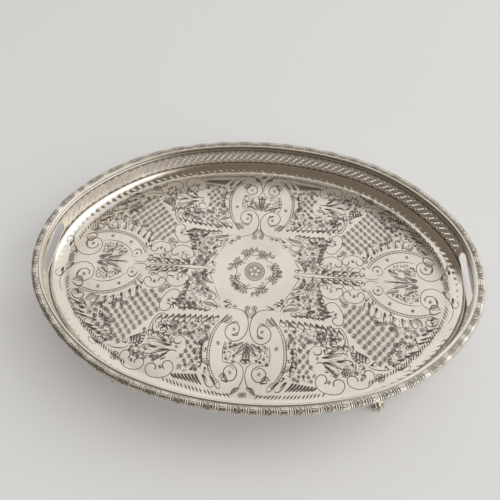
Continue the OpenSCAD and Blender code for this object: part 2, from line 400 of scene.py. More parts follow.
SIDES = {"right": ARCS[0:1], "back": ARCS[1:4], "left": ARCS[4:5], "front": ARCS[5:8]}
for title in ("back", "front", "right", "left"):
    add(build_border("border_moulding_" + title, SIDES[title]), "border_silver", "border_" + title)


# ---- gallery: pierced strip, cut as a flat pattern and wrapped round its arc ----
WALL_Z0, WALL_Z1 = 24.7, GALLERY_TOP + 0.05
HOLE_Z = 35.2
EDGE = 0.14                          # chamfer of the piercings
DOT_R, DOT_RISE, DOT_SHIFT = 0.7, 4.8, 0.32     # the shift is a share of the pitch
HAND_LONG, HAND_TALL = 56.0, 13.5
STRIP_Z = (WALL_Z0, 25.9, 26.8, 30, 34, 38, 42, 43.5, WALL_Z1)
STRIP_STEPS = 60


def polar(angle):
    return np.array([math.cos(angle), math.sin(angle)])


def bow(x, y, r, a0, a1, count):
    """Points along part of a circle."""
    return np.array([(x, y) + r * polar(a) for a in np.linspace(a0, a1, count)])


def offset_loop(loop, d):
    """Moves a closed anticlockwise loop outwards by d."""
    p = np.asarray(loop, float)
    before, after = np.roll(p, 1, 0), np.roll(p, -1, 0)
    t = after - before
    t /= np.maximum(np.linalg.norm(t, axis=1)[:, None], 1e-9)
    return p + d * np.stack([t[:, 1], -t[:, 0]], 1)


def tube_loop(path, widths):
    """Outline of a stroke with round ends, anticlockwise."""
    t = runs(path)
    half = np.stack([t[:, 1], -t[:, 0]], 1) * widths[:, None]

    def cap(c, way, w):
        a0 = math.atan2(way[1], way[0])
        return [c + w * polar(a) for a in (a0 - 0.9, a0 - 0.3, a0 + 0.3, a0 + 0.9)]

    return np.vstack([path + half, cap(path[-1], t[-1], widths[-1]),
                      (path - half)[::-1], cap(path[0], -t[0], widths[0])])


def s_hole(u):
    """The S-shaped piercing, leaning back against the run of the strip."""
    k = np.linspace(-1, 1, 15)
    x = -2.3 * (0.72 * k + 0.28 * k ** 3)
    z = 2.62 * (1.25 * k - 0.25 * k ** 3)
    return tube_loop(np.stack([u + x, HOLE_Z + z], 1), 0.58 + 0.3 * np.abs(k) ** 3)


def dot_hole(u, z):
    return bow(u, z, DOT_R, 0, 2 * math.pi, 11)[:-1]


def hand_hole(u):
    r = HAND_TALL / 2
    reach = HAND_LONG / 2 - r
    return np.vstack([bow(u + reach, HOLE_Z, r, -math.pi / 2, math.pi / 2, 14),
                      bow(u - reach, HOLE_Z, r, math.pi / 2, 3 * math.pi / 2, 14)])


def wall(name, arcs, counts):
    """A length of gallery over some arcs. An end's single arc has a hand hole in its middle."""
    verts, faces = [], []

    def put(arc, angle0, flat, depth):
        """Wraps flat points round the arc, depth outside its inner face."""
        first = len(verts)
        r = arc[2] - GALLERY_IN
        for u, z in flat:
            t = angle0 + u / r
            verts.append((*(arc[:2] + (r + depth) * polar(t)), z))
        return first

    def cell(arc, angle0, width, holes):
        """One panel of the strip: both faces, the holes' walls, and small chamfers."""
        us = np.linspace(0, width, max(2, int(width / 2.2)) + 1)
        rect = [(u, WALL_Z0) for u in us] + [(width, z) for z in STRIP_Z[1:]]
        rect += [(u, WALL_Z1) for u in us[::-1][1:]] + [(0, z) for z in STRIP_Z[::-1][1:-1]]
        loops = [np.array(rect)] + [offset_loop(h, EDGE) for h in holes]
        edges, at = [], 0
        for loop in loops:
            n = len(loop)
            edges += [(at + i, at + (i + 1) % n) for i in range(n)]
            at += n
        points = [Vector(q) for q in np.vstack(loops)]
        flat, _, parts, *_ = delaunay_2d_cdt(points, edges, [], 0, 1e-5)
        middles = np.array([np.mean([flat[i] for i in f], axis=0) for f in parts])
        pierced = np.any([inside(*middles.T, loop) for loop in loops[1:]], axis=0)
        keep = [f for f, gone in zip(parts, pierced) if not gone]
        for depth, order in ((0.0, -1), (STRIP, 1)):
            first = put(arc, angle0, flat, depth)
            faces.extend([first + i for i in f][::order] for f in keep)
        for hole, loop in zip(holes, loops[1:]):
            first = put(arc, angle0, loop, 0.0)
            for ring, depth in ((hole, EDGE), (hole, STRIP - EDGE), (loop, STRIP)):
                put(arc, angle0, ring, depth)
            faces.extend(grid_faces(4, len(hole), closed_cols=True, first=first))

    for arc, count in zip(arcs, counts):
        r = arc[2] - GALLERY_IN
        length = r * (arc[4] - arc[3])
        pitch = length / count
        skip = [i for i in range(count)
                if len(arcs) == 1 and abs((i + 0.5) * pitch - length / 2) < HAND_LONG / 2 + 4.2]
        middle = pitch / 2
        holes = [s_hole(middle), dot_hole(middle + DOT_SHIFT * pitch, HOLE_Z + DOT_RISE),
                 dot_hole(middle - DOT_SHIFT * pitch, HOLE_Z - DOT_RISE)]
        for i in range(count):
            if i not in skip:
                cell(arc, arc[3] + i * pitch / r, pitch, holes)
        if skip:
            wide = len(skip) * pitch
            cell(arc, arc[3] + skip[0] * pitch / r, wide, [hand_hole(wide / 2)])
    # top and foot of the strip
    for arc in arcs:
        stations = walk([arc], GALLERY_IN, STRIP_STEPS)
        for z, order in ((WALL_Z0, -1), (WALL_Z1, 1)):
            first = len(verts)
            verts += [(*on_outline(q, d), z)
                      for q in stations for d in (GALLERY_IN, GALLERY_IN - STRIP)]
            faces += [[a, a + 1, a + 3, a + 2][::order]
                      for a in range(first, first + 2 * STRIP_STEPS, 2)]
    z = np.array(verts)[:, 2]
    # painted shade, with some dirt: the strip is darkened at its foot, in the seam with the plate's
    # lip, and at its top under the border
    dark = np.maximum(1 - smooth(25.6, 26.8, z), 0.8 * smooth(43.4, 44.5, z))
    return soften(make_mesh(name, verts, faces, WALL_MAT, depth=dark))


def inside(x, y, loop):
    """Which points lie in a loop."""
    out = np.zeros(np.shape(x), bool)
    x1, y1 = loop[-1]
    for x2, y2 in loop:
        if y1 != y2:
            out ^= ((y2 > y) != (y1 > y)) & (x < (x1 - x2) * (y - y2) / (y1 - y2) + x2)
        x1, y1 = x2, y2
    return out


def soften(obj):
    """Joins the cells of a strip and smooths faces that meet at a shallow angle."""
    mesh = obj.data
    bm = bmesh.new()
    bm.from_mesh(mesh)
    bmesh.ops.remove_doubles(bm, verts=bm.verts, dist=0.000004)
    bmesh.ops.recalc_face_normals(bm, faces=bm.faces)
    bm.to_mesh(mesh)
    bm.free()
    mesh.shade_smooth()
    mesh.set_sharp_from_angle(angle=math.radians(35))
    return obj


for title, counts in (("back", (16, 24, 16)), ("front", (16, 24, 16)), ("right", (17,)),
                      ("left", (17,))):
    add(wall("gallery_wall_" + title, SIDES[title], counts), "gallery_silver", "gallery_" + title)

# ---- chased ornament: tapered grooves with a slight burr, laid on the plate ----
BURR = 0.035        # height of a groove's edges above the plate, and of its floor
GROOVE = 0.012
BOLD = 1.22         # wear has widened every cut by this
WOBBLE = 0.55       # how far the hand strays
RIM_CUT = 22.3      # inset of the short cuts along the rim
CELL = 2            # squares per millimetre in the record of what has been cut
CELLS = (280, 400)  # how many of them a quarter has, along y and x
RIM_CLEAR = 25      # the filling stays this far inside the outline
HUB_CLEAR = 40.5    # and this far from the middle


def inset_of(x, y):
    """Distance inside the outline of points, by whichever arc faces them."""
    x, y = np.abs(x), np.abs(y)
    out = np.zeros_like(x)
    done = np.zeros(x.shape, bool)
    for cx, cy, r, lo, hi in ARCS[:3]:
        t = np.arctan2(y - cy, x - cx)
        here = (t >= lo - 1e-6) & (t <= hi + 1e-6) & ~done
        out[here] = r - np.hypot(x - cx, y - cy)[here]
        done |= here
    return out


def pairs(points):
    """Points from a flat run of x, y, x, y, or as they are."""
    return np.asarray(points, float).reshape(-1, 2)


class Chaser:
    """Collects grooves drawn in the quarter x > 0, y > 0 and mirrored by sx, sy."""

    def __init__(self, seed, sx=1, sy=1):
        self.verts, self.faces, self.count = [], [], 0
        self.flip = (sx, sy)
        self.phase = (2.1 * sx + 0.9 * sy, 1.3 * sx - 1.7 * sy)
        self.rng = random.Random(seed)
        self.used = np.zeros(CELLS, bool)

    def mark(self, p):
        """Remembers which squares of the quarter have been cut."""
        i, j = (p[:, 1] * CELL).astype(int), (p[:, 0] * CELL).astype(int)
        for di in (-1, 0, 1):
            for dj in (-1, 0, 1):
                self.used[np.clip(i + di, 0, CELLS[0] - 1), np.clip(j + dj, 0, CELLS[1] - 1)] = True

    def hand(self, p):
        """Mirrors points and moves them a little, as no two quarters are chased alike."""
        x, y = p[:, 0], p[:, 1]
        fx, fy = np.clip(np.abs(x) / 12, 0, 1), np.clip(np.abs(y) / 12, 0, 1)
        jx = WOBBLE * np.sin(x / 13 + y / 21 + self.phase[0]) * fx
        jy = WOBBLE * np.sin(y / 14 - x / 19 + self.phase[1]) * fy
        return np.stack([self.flip[0] * (x + jx), self.flip[1] * (y + jy)], 1)

    def cut(self, p, widths):
        """One groove along stations p, in final millimetres."""
        t = runs(p)
        nrm = np.stack([-t[:, 1], t[:, 0]], 1) * (widths / 2)[:, None]
        rows = []
        for side, lift in ((1, BURR), (0, GROOVE), (-1, BURR)):
            q = p + side * nrm
            rows.append(np.column_stack([q, surface(*q.T, inset_of(*q.T)) + lift]))
        n = len(p)
        self.verts.append(np.stack(rows, 1).reshape(-1, 3))
        i = np.arange(n - 1) * 3 + self.count
        self.faces.append(np.stack([i, i + 1, i + 4, i + 3], 1))
        self.faces.append(np.stack([i + 1, i + 2, i + 5, i + 4], 1))
        self.count += 3 * n

    def line(self, points, w=0.5, start=0.25, end=0.25, spacing=1.3):
        """A groove that is w wide in the middle and thins to a share of that at its ends."""
        p = through(pairs(points), spacing)
        self.mark(p)
        p = self.hand(p)
        k = np.linspace(0, 1, len(p))
        swell = np.sin(np.pi * np.clip(k, 0, 1)) ** 0.6
        ends = start * (1 - k) + end * k
        self.cut(p, np.maximum(BOLD * w * (ends + (1 - ends) * swell), 0.06))

    def tick(self, x, y, angle, length, w):
        """A short straight cut centred on a point."""
        dx, dy = polar(angle) * length / 2
        p = np.array([(x - dx, y - dy), (x, y), (x + dx, y + dy)])
        self.mark(p)
        self.cut(self.hand(p), np.array([0.1, BOLD * w, 0.1]))

    def ring(self, x, y, r, w, steps=8, a0=0.0, sweep=2 * math.pi):
        a = np.linspace(a0, a0 + sweep, steps + 1)
        p = np.stack([x + r * np.cos(a), y + r * np.sin(a)], 1)
        self.mark(p)
        self.cut(self.hand(p), np.full(steps + 1, BOLD * w))

    def punch(self, x, y, r):
        """A matted dot: short cuts side by side."""
        n = max(3, int(r * 2 / 0.72))
        for i in range(n):
            v = (i + 0.5) / n * 2 - 1
            half = r * (1 - 0.22 * v * v)
            a = 0.5 + self.rng.uniform(-0.08, 0.08)
            ox, oy = -math.sin(a) * v * r, math.cos(a) * v * r
            self.tick(x + ox, y + oy, a, 2.1 * half, 0.54)

    def floret(self, x, y, r, petals=5, a0=0.0):
        """A small flower of looped petals round a dark eye."""
        pr = r * 0.42
        for i in range(petals):
            a = a0 + 2 * math.pi * i / petals
            self.ring(*((x, y) + (r - pr) * polar(a)), pr, 0.38, 7, a + math.pi, 5.6)
        self.ring(x, y, r * 0.16, 0.34, 5)
        for i in range(petals):
            a = a0 + 2 * math.pi * (i + 0.5) / petals
            self.tick(*((x, y) + r * 0.98 * polar(a)), a, r * 0.5, 0.55)

    def leaf(self, base, tip, width, bend, hatch, curl=0.0):
        """A leaf from base to tip: two edges, a midrib, and hatching from the midrib outwards."""
        b, t = np.array(base, float), np.array(tip, float)
        d = t - b
        length = math.hypot(*d)
        n = np.array([-d[1], d[0]]) / length

        def mid(k, side):
            return b + d * k + n * (bend * length * math.sin(math.pi * k)
                                    + side * width / 2 * math.sin(math.pi * k ** 0.8))

        ks = (0, 0.25, 0.5, 0.75, 1)
        self.line([mid(k, 1) for k in ks], 0.5)
        self.line([mid(k, -1) for k in ks], 0.575)
        self.line([mid(k, 0) for k in ks[:4]], 0.3)
        if curl:
            c = t + n * curl * 0.2
            self.ring(c[0], c[1], abs(curl), 0.45, 8, math.atan2(d[1], d[0]), 4.6)
        steps = max(2, int(length / 1.15))
        for i in range(1, steps):
            k = i / steps
            p, q = mid(k * 0.86, 0.0), mid(min(1, k * 0.86 + 0.16), -0.9 * hatch / 0.62)
            self.line([p, (p + q) / 2, q], 0.42, 0.9, 0.1, 2.0)

    def blade(self, base, tip, w, bend):
        """A comma-shaped leaf: a round tip, a dark edge, shading that fades from the root."""
        b, t = np.array(base, float), np.array(tip, float)
        d = t - b
        size = math.hypot(*d)
        n = np.array([-d[1], d[0]]) / size
        half = min(0.34 * size, 1.9 * w)
        shadow = -1 if bend >= 0 else 1

        def at(k, v):
            swell = math.sin(math.pi * k ** 1.5) ** 0.75 if 0 < k < 1 else 0
            return b + d * k + n * size * bend * math.sin(math.pi * k) + n * v * half * swell

        ks = (0, 0.3, 0.55, 0.75, 0.9, 1)
        self.line([at(k, shadow) for k in ks], 0.72, 0.2, 0.8, 1.2)
        self.line([at(k, -shadow) for k in (0.25, 0.5, 0.75, 0.92, 1)], 0.34, 0.3, 0.9, 1.2)
        cuts = 2 if size < 5 else 3 if size < 12 else 5
        for i in range(cuts):
            v = shadow * (0.62 - 0.6 * i * 2 / max(cuts - 1, 2))
            stop = 0.74 - 0.15 * i - self.rng.uniform(0, 0.08)
            self.line([at(k, v) for k in np.linspace(0.06, stop, 4)], 0.5, 0.9, 0.05, 1.4)

    def feather(self, stem, length, angle, w, every, grow=(1, 1), bend=0.12):
        """Blades along a line, each at an angle from its run."""
        p = through(pairs(stem), 0.4)
        run = np.concatenate([[0], np.cumsum(np.linalg.norm(np.diff(p, axis=0), axis=1))])
        n = max(1, int(run[-1] / (every * 1.3)))
        for i in range(n + 1):
            j = min(len(p) - 2, int(np.searchsorted(run, run[-1] * (i + 0.25) / (n + 0.5))))
            a = math.atan2(*(p[j + 1] - p[j])[::-1])
            size = 1.12 * length * (grow[0] + (grow[1] - grow[0]) * i / n)
            size *= self.rng.uniform(0.88, 1.1)
            self.blade(p[j], p[j] + size * polar(a + angle), w, bend)

    def bed(self, polygon, spacing, kinds=(0.5, 0.3, 0.2), size=(1.5, 2.4)):
        """Fills a region with small florets, rings and curled leaves, and tiny rings between."""
        poly = pairs(polygon)
        lo, hi = poly.min(0), poly.max(0)
        placed = []
        tries = int((hi[0] - lo[0]) * (hi[1] - lo[1]) / spacing ** 2 * 9)
        for _ in range(tries):
            q = np.array([self.rng.uniform(lo[0], hi[0]), self.rng.uniform(lo[1], hi[1])])
            if not inside(*q, poly) or any(np.hypot(*(q - o)) < spacing * 1.15 for o in placed):
                continue
            placed.append(q)
            pick = self.rng.random()
            a = self.rng.uniform(0, 6.28)
            r = self.rng.uniform(*size)
            if pick < kinds[0]:
                self.floret(*q, r, self.rng.choice((5, 5, 6)), a)
            elif pick < kinds[0] + kinds[1]:
                self.ring(*q, r * 0.55, 0.42, 8, a, 5.2)
                self.tick(*(q + r * polar(a + 2)), a, r * 1.1, 0.6)
            else:
                self.blade(q, q + 2.2 * r * polar(a), 0.8, 0.25)
        for _ in range(int(tries * 0.4)):
            q = (self.rng.uniform(lo[0], hi[0]), self.rng.uniform(lo[1], hi[1]))
            if inside(*q, poly) and not self.used[int(q[1] * CELL), int(q[0] * CELL)]:
                r = self.rng.uniform(0.45, 0.8)
                self.ring(*q, r, 0.3, 6, self.rng.uniform(0, 6.2), 5.0)

    def checker(self, polygon, dx, dy, r, slant, origin):
        """Matted dots in staggered rows over a region."""
        poly = pairs(polygon)
        for i in range(-40, 40):
            for j in range(-40, 40):
                x = origin[0] + (j + 0.5 * (i % 2)) * dx
                y = origin[1] + i * dy + slant * (x - origin[0])
                if inside(x, y, poly):
                    self.punch(x, y, r)

    def beads(self, points, gap):
        """Two parallel lines with small bars between them."""
        p = through(pairs(points), 0.8)
        t = runs(p)
        n = np.stack([-t[:, 1], t[:, 0]], 1) * gap / 2
        self.line(p[::2] + n[::2], 0.5, 0.5, 0.5)
        self.line(p[::2] - n[::2], 0.62, 0.5, 0.5)
        for i in range(3, len(p) - 3, 3):
            self.line([p[i] - 0.8 * n[i], p[i] + 0.8 * n[i]], 0.7, 0.6, 0.6, 1.0)

    def fan(self, origin, a0, a1, n, length, w):
        """Blades that spread from one point between two angles."""
        o = np.array(origin, float)
        for i in range(n):
            a = a0 + (a1 - a0) * i / max(1, n - 1)
            size = length * (0.75 + 0.25 * math.sin(math.pi * (i + 0.5) / n))
            d = polar(a)
            self.blade(o + d * size * 0.18, o + d * size, w, 0.15 if i < n / 2 else -0.15)

    def each(self, shape, *rows):
        """Leaves or blades, each given as the x, y of its base and tip and then the rest."""
        for x0, y0, x1, y1, *rest in rows:
            shape((x0, y0), (x1, y1), *rest)

    def fill(self, tries, clear, plain):
        """Leaves and small flowers wherever the quarter is still empty, outside the plain areas."""
        yy, xx = (np.mgrid[0:CELLS[0], 0:CELLS[1]] + 0.5) / CELL
        self.used |= (inset_of(xx, yy) < RIM_CLEAR) | (xx ** 2 + yy ** 2 < HUB_CLEAR ** 2)
        for poly in plain:
            self.used |= inside(xx, yy, pairs(poly))
        for _ in range(tries):
            x, y = self.rng.uniform(1, 190), self.rng.uniform(1, 126)
            i, j, k = int(y * CELL), int(x * CELL), int(clear * CELL)
            if self.used[max(0, i - k):i + k + 1, max(0, j - k):j + k + 1].any():
                continue
            flow = math.atan2(y - 20, x - 60) + 0.9 * math.sin(x / 11.0) + 0.7 * math.cos(y / 9.0)
            a = flow + self.rng.uniform(-0.4, 0.4)
            d = polar(a)
            size = self.rng.uniform(1.9, 2.9) * clear / 1.3
            q = np.array([x, y])
            if self.rng.random() < 0.2:
                self.floret(x, y, 1.15 * clear, 5, a)
            else:
                self.blade(q - d * size, q + d * size, 0.85, self.rng.choice((-0.2, 0.2)))

    def piece(self, name):
        """The grooves as one mesh that lies on the plate."""
        obj = make_mesh(name, np.vstack(self.verts), np.vstack(self.faces), CHASE_MAT)
        return add(obj, "plate_silver")


def front_half(c):
    """Half of the cartouche on the short axis, with what stands beside it."""
    c.line([27, 42, 18, 41.3, 8, 43.5, 2.5, 50, 0.8, 60, 3, 68.5, 8, 74, 14, 75, 19.5, 71, 21, 65,
        18.5, 59.5, 13, 57, 9, 60, 9, 66, 13.4, 69], 0.62, 0.2, 1.3)
    c.line([9, 66.5, 9.6, 69, 13, 69.6, 14.5, 68.6], 0.9, 0.3, 0.8)
    c.line([18, 59.5, 13, 55.5, 9.5, 57], 0.8, 0.4, 0.3)
    c.punch(13, 63.5, 1.7)
    c.line([20, 95, 13, 95.5, 7.5, 99.5, 6.5, 105, 9.5, 110, 14.5, 110.5, 18, 107, 18, 101, 13.5,
        97.5, 9, 100.5], 0.75, 0.6, 0.4)
    c.line([20, 76, 21.2, 86, 20, 95.4], 0.6)
    c.line([27, 121, 18, 123, 9, 121, 3.5, 115, 0.9, 107, 1.6, 99, 5.5, 94.6, 11, 93.6], 0.62)
    c.punch(12.5, 103.5, 1.7)
    c.punch(26.3, 78.2, 1.9)
    c.beads([26.5, 57, 31.5, 67, 34, 79, 34.4, 90, 32, 101, 26.5, 110.5, 22, 115], 2.3)
    # two hatched leaves that hang between the volutes, a bud below, and florets beside them
    c.each(c.leaf, (1.0, 75.5, 10.5, 87.5, 5.6, 0.16, 0.8), (1.0, 78, 3.6, 91, 3.6, 0.1, 0.8),
        (3.5, 75, 15, 80.5, 3.8, 0.16, 0.9))
    c.line([0.4, 74, 0.5, 84, 0.3, 92], 0.6)
    c.fan((0.4, 89), 0.9, 1.5, 2, 6.5, 1.6)
    c.bed([9, 77, 19, 76, 20, 86, 18.5, 94, 7, 93.5, 11, 86], 2.7, (0.45, 0.45, 0.1), (1.1, 1.6))
    c.floret(3.4, 40.6, 2.5, 5, 0.3)
    c.leaf((5.4, 42.6), (0.9, 51.5), 3.4, 0.06, 0.95)
    c.floret(1.4, 122.6, 2.1, 4, 0.4)
    c.leaf((2.4, 116.5), (10.5, 123.6), 3.4, -0.12, 0.95)
    # leaves that grow from the volutes
    c.each(c.leaf, (16.5, 50, 24.5, 57, 4.6, 0.2, 0.8), (20, 48.5, 27.5, 58, 3.0, 0.1, 0.8),
        (15, 108.8, 22.5, 108.5, 3.6, -0.3, 0.9))
    c.blade((14, 112.6), (20, 109), 1.3, -0.2)
    c.feather([27, 49.5, 45, 50, 66, 51, 84, 54], 8.4, 0.95, 1.25, 4.4, (0.95, 1.15))
    c.each(c.blade, (60, 52, 71, 58.5, 1.8, 0.14), (36, 52.5, 43, 60.5, 1.5, 0.14))
    # leaves under the beaded band
    for *row, width in (38, 107.5, 27, 117.5, 5.4), (31, 108.5, 20.5, 118.5, 3.2):
        c.each(c.blade, (*row, width / 2.6, 0.1))
    for i in range(8):
        base = np.array((43.0 + 2.9 * i, 108.0 + 0.25 * i))
        run = np.array((-7.0 + 0.35 * i, 9.0 - 0.75 * i))
        for shift, w in ((0, 1.3), (1.0, 0.6)):
            top = base + (shift, 0)
            c.line([top, top + 0.5 * run + (0.5, 0.4), top + run * (1 - 0.25 * shift)], w, 0.8,
                0.05)
    c.leaf((40, 94.5), (32.5, 100.5), 4.4, 0.15, 0.8, 1.4)
    # beside the band: a bed of florets and a strip of checker
    c.bed([37, 61, 48, 58, 58, 60, 68, 60, 72, 66, 62, 71, 50, 73, 42, 79, 37, 78, 38, 70], 3.3)
    c.leaf((41, 66.5), (36.5, 76), 4.2, 0.2, 0.85, 1.3)
    c.feather([38.5, 76, 40, 86, 38.6, 97], 5.6, -0.7, 1.2, 3.1, (1, 1), -0.15)
    c.bed([40, 80, 47, 77, 47, 90, 44, 97, 40, 93], 3.0, (0.3, 0.3, 0.4), (1.2, 1.9))
    c.checker([44, 71, 60, 69, 55, 84, 61, 98, 52, 101, 46, 97, 48, 84], 6.8, 4.5, 2.2, 0.04,
        (48, 70))
    c.bed([38, 102, 52, 100, 61, 101, 60, 106, 45, 106], 2.9, (0.5, 0.25, 0.25), (1.3, 2.1))


def corner(c):
    """The long diagonal field between two cartouches."""
    # vertical C with an acanthus fan
    c.line([67.5, 76, 67, 80, 62.5, 81.4, 59.8, 78.6], 0.95, 0.3, 0.3)
    c.line([67.4, 77.5, 64.5, 73.5, 59.5, 74.2, 56, 79, 55.3, 86, 57.3, 92.5, 62, 96.6], 0.5)
    c.line([63, 88.8, 67.5, 88, 72, 90.8, 76, 95], 0.8, 0.9, 0.2)
    c.punch(64, 84.6, 1.6)
    c.each(c.blade, (67, 83.5, 91, 79, 2.0, 0.08), (68, 88, 92, 92, 1.9, -0.1),
        (70, 91, 83, 97.5, 1.7, -0.1), (72, 80, 88, 73.5, 1.9, 0.1), (80, 86, 95, 86, 1.5, 0.06))
    c.feather([70, 74, 78, 71, 88, 69], 7.0, 0.85, 1.4, 4.2, (0.8, 1.1))
    c.fan((78, 62), 0.7, 2.4, 4, 8.5, 1.5)
    c.bed([64, 60, 80, 60, 86, 66, 78, 70, 69, 73, 62, 71], 3.1)
    c.line([78.5, 58.5, 79.5, 54, 84.5, 53.2, 88.7, 58, 91.4, 66, 91, 74, 88, 80], 0.62, 0.9, 0.3)
    c.line([89, 62, 88.6, 69, 85.5, 75], 0.9, 0.2, 0.2)
    for k in range(4):
        c.blade((98 + 2.6 * k, 73.5 + 1.2 * k), (99.5 + 2.4 * k, 83.5 + 0.6 * k), 1.1, -0.14)
    c.feather([93, 75, 94.5, 82, 99, 86], 4.5, -0.9, 1.1, 2.4)
    # omega scrolls along the edge
    c.line([70.5, 106.3, 72.6, 103, 71, 99.4, 67, 98.6, 63.6, 101.8, 63, 107, 67, 112.4, 76, 114.7,
        84, 113, 87.3, 107.4, 86, 103, 81.5, 101.8, 78.3, 104.2, 78.2, 107.6], 0.5, 1.9, 1.9)
    c.punch(74.4, 104.7, 1.8)
    c.line([98.4, 102.3, 98, 99.6, 95, 97.8, 91, 98.7, 89.6, 102.6, 92, 107, 98.5, 108.8, 106, 107,
        111.5, 102, 113.3, 96.4, 111.3, 92.3, 107.4, 91.3, 104.3, 93.4, 104, 97, 105.4, 98.6], 0.5,
        1.9, 1.9)
    c.punch(102, 100, 1.8)
    c.bed([71, 96, 80, 95, 92, 92, 102, 92, 101, 97, 96, 96.5, 88, 98.5, 76, 99], 3.0,
        (0.6, 0.2, 0.2), (1.5, 2.3))
    c.floret(118, 97.2, 3.9, 6, 0.2)
    c.line([107, 87, 112, 89.6, 120, 89.9, 128, 88], 0.7)
    c.bed([92, 85, 104, 87, 106, 91, 96, 93], 2.8, (0.5, 0.2, 0.3), (1.2, 1.9))
    # horizontal and upright Cs between the centre and the end cartouche
    c.line([71.5, 13.5, 71, 10, 66.8, 9.4, 63.8, 12.4, 65, 17.6, 70, 22.4, 77, 24, 83, 21.8, 86.4,
        16.8, 85.4, 12.6, 81.4, 12, 79.6, 15], 0.5, 1.6, 1.6)
    c.punch(75, 15.4, 1.7)
    c.line([94, 19.5, 93.2, 16, 90, 14.8, 87.2, 17.4, 87.6, 21.8, 91.4, 25.4, 97.5, 26.9, 104, 25.2,
        107.6, 20.4, 107.2, 16.6, 103.8, 15, 101, 17.6, 101.2, 20], 0.5, 1.9, 1.9)
    c.punch(97.6, 19.6, 1.8)
    c.line([78, 36.2, 74.4, 37.8, 70.7, 35, 70.4, 30.6, 74, 27.4, 79.4, 28, 84, 33, 87, 39, 87.6,
        45, 85.2, 49.8, 80.4, 50.2, 77, 47, 77.6, 43.6, 81, 42.4], 0.52, 1.6, 1.6)
    c.punch(79.8, 39.4, 1.8)
    c.each(c.blade, (77, 41.5, 63, 43.5, 1.8, 0.1), (74, 38.5, 64, 37, 1.5, -0.1),
        (72, 34.5, 63, 31, 1.3, -0.1))
    c.floret(88.6, 28.8, 3.2, 6, 0.1)
    c.floret(104.8, 31.4, 2.6, 5, 0.5)
    c.each(c.blade, (66, 4, 76, 12, 1.8, 0.14), (76, 4, 87, 10.5, 1.8, 0.14),
        (86, 4, 97, 12, 1.8, 0.14), (95, 4, 105, 11, 1.6, 0.14))
    c.feather([64, 2.2, 84, 1.2, 106, 2.4], 6.6, 0.8, 1.1, 4.2, (1.1, 0.8))
    c.line([40, 0.9, 62, 2.2, 84, 0.9, 107, 1.4], 0.6)
    # the flowered field next to the centre
    c.leaf((49.5, 2.5), (38, 17.5), 7.6, -0.12, 0.9)
    c.blade((46, 22), (34, 33), 2.2, -0.1)
    c.leaf((46, 37.5), (30.5, 42), 6.6, 0.16, 0.8, 2.0)
    c.blade((58, 38), (46, 45), 1.8, 0.12)
    c.feather([42, 47.5, 55, 46.8, 70, 47.5], 6.6, 0.75 + math.pi, 1.1, 4.0)
    c.bed([48, 3, 62, 3, 63, 12, 66, 22, 68, 33, 62, 40, 52, 38, 44, 33, 42, 27, 45, 19, 46, 10],
        3.2, (0.55, 0.3, 0.15))
    c.feather([61, 18, 63.5, 27, 66, 36], 6.0, -0.7, 1.2, 3.0)
    c.bed([58, 37, 70, 36, 72, 43, 62, 47, 54, 45], 2.9, (0.4, 0.3, 0.3))
    c.floret(57.2, 9.6, 3.2, 6, 0.2)
    c.line([30, 34.5, 33.5, 27, 37.5, 19], 0.45)
    # big patch of checker, and the leaves round it
    c.checker([95, 30, 108, 32, 118, 42, 132, 50, 143, 56, 138, 66, 130, 78, 119, 86, 108, 76, 97,
        67, 89, 57, 87, 42], 8.35, 4.75, 2.75, 0.02, (97.5, 31))
    for row in ((111.5, 24, 113.5, 40), (118.5, 29, 119, 41), (125.5, 33.5, 126.5, 45.5),
                (132.5, 37, 136, 47.5), (140, 38.6, 145, 49), (147, 39, 154, 48)):
        c.each(c.blade, (*row, 1.75, -0.1))
    c.leaf((151, 39), (160, 46), 5.2, -0.12, 0.95)
    c.bed([117, 44, 128, 42, 136, 46, 150, 48, 156, 54, 150, 60, 140, 56, 130, 50], 3.2,
        (0.55, 0.2, 0.25), (1.6, 2.5))
    c.bed([128, 66, 140, 60, 150, 62, 143, 71, 136, 78, 131, 84, 123, 85, 127, 76], 3.0,
        (0.5, 0.2, 0.3), (1.5, 2.4))
    for *row, width in ((157, 54, 171.5, 50.5, 5.0), (143.5, 65.5, 155, 67, 5.8),
                        (135, 78.6, 147, 77.5, 4.8), (128, 84.4, 139, 83, 3.8)):
        c.each(c.blade, (*row, width / 2.8, 0.1))
    for row in ((161, 49.5, 176, 45.4), (152, 62.5, 166, 60), (144, 71.6, 157, 70),
                (140, 74.6, 154, 73), (133, 88, 146, 83.4), (156, 58.6, 168, 56)):
        c.each(c.blade, (*row, 1.1, 0.1))


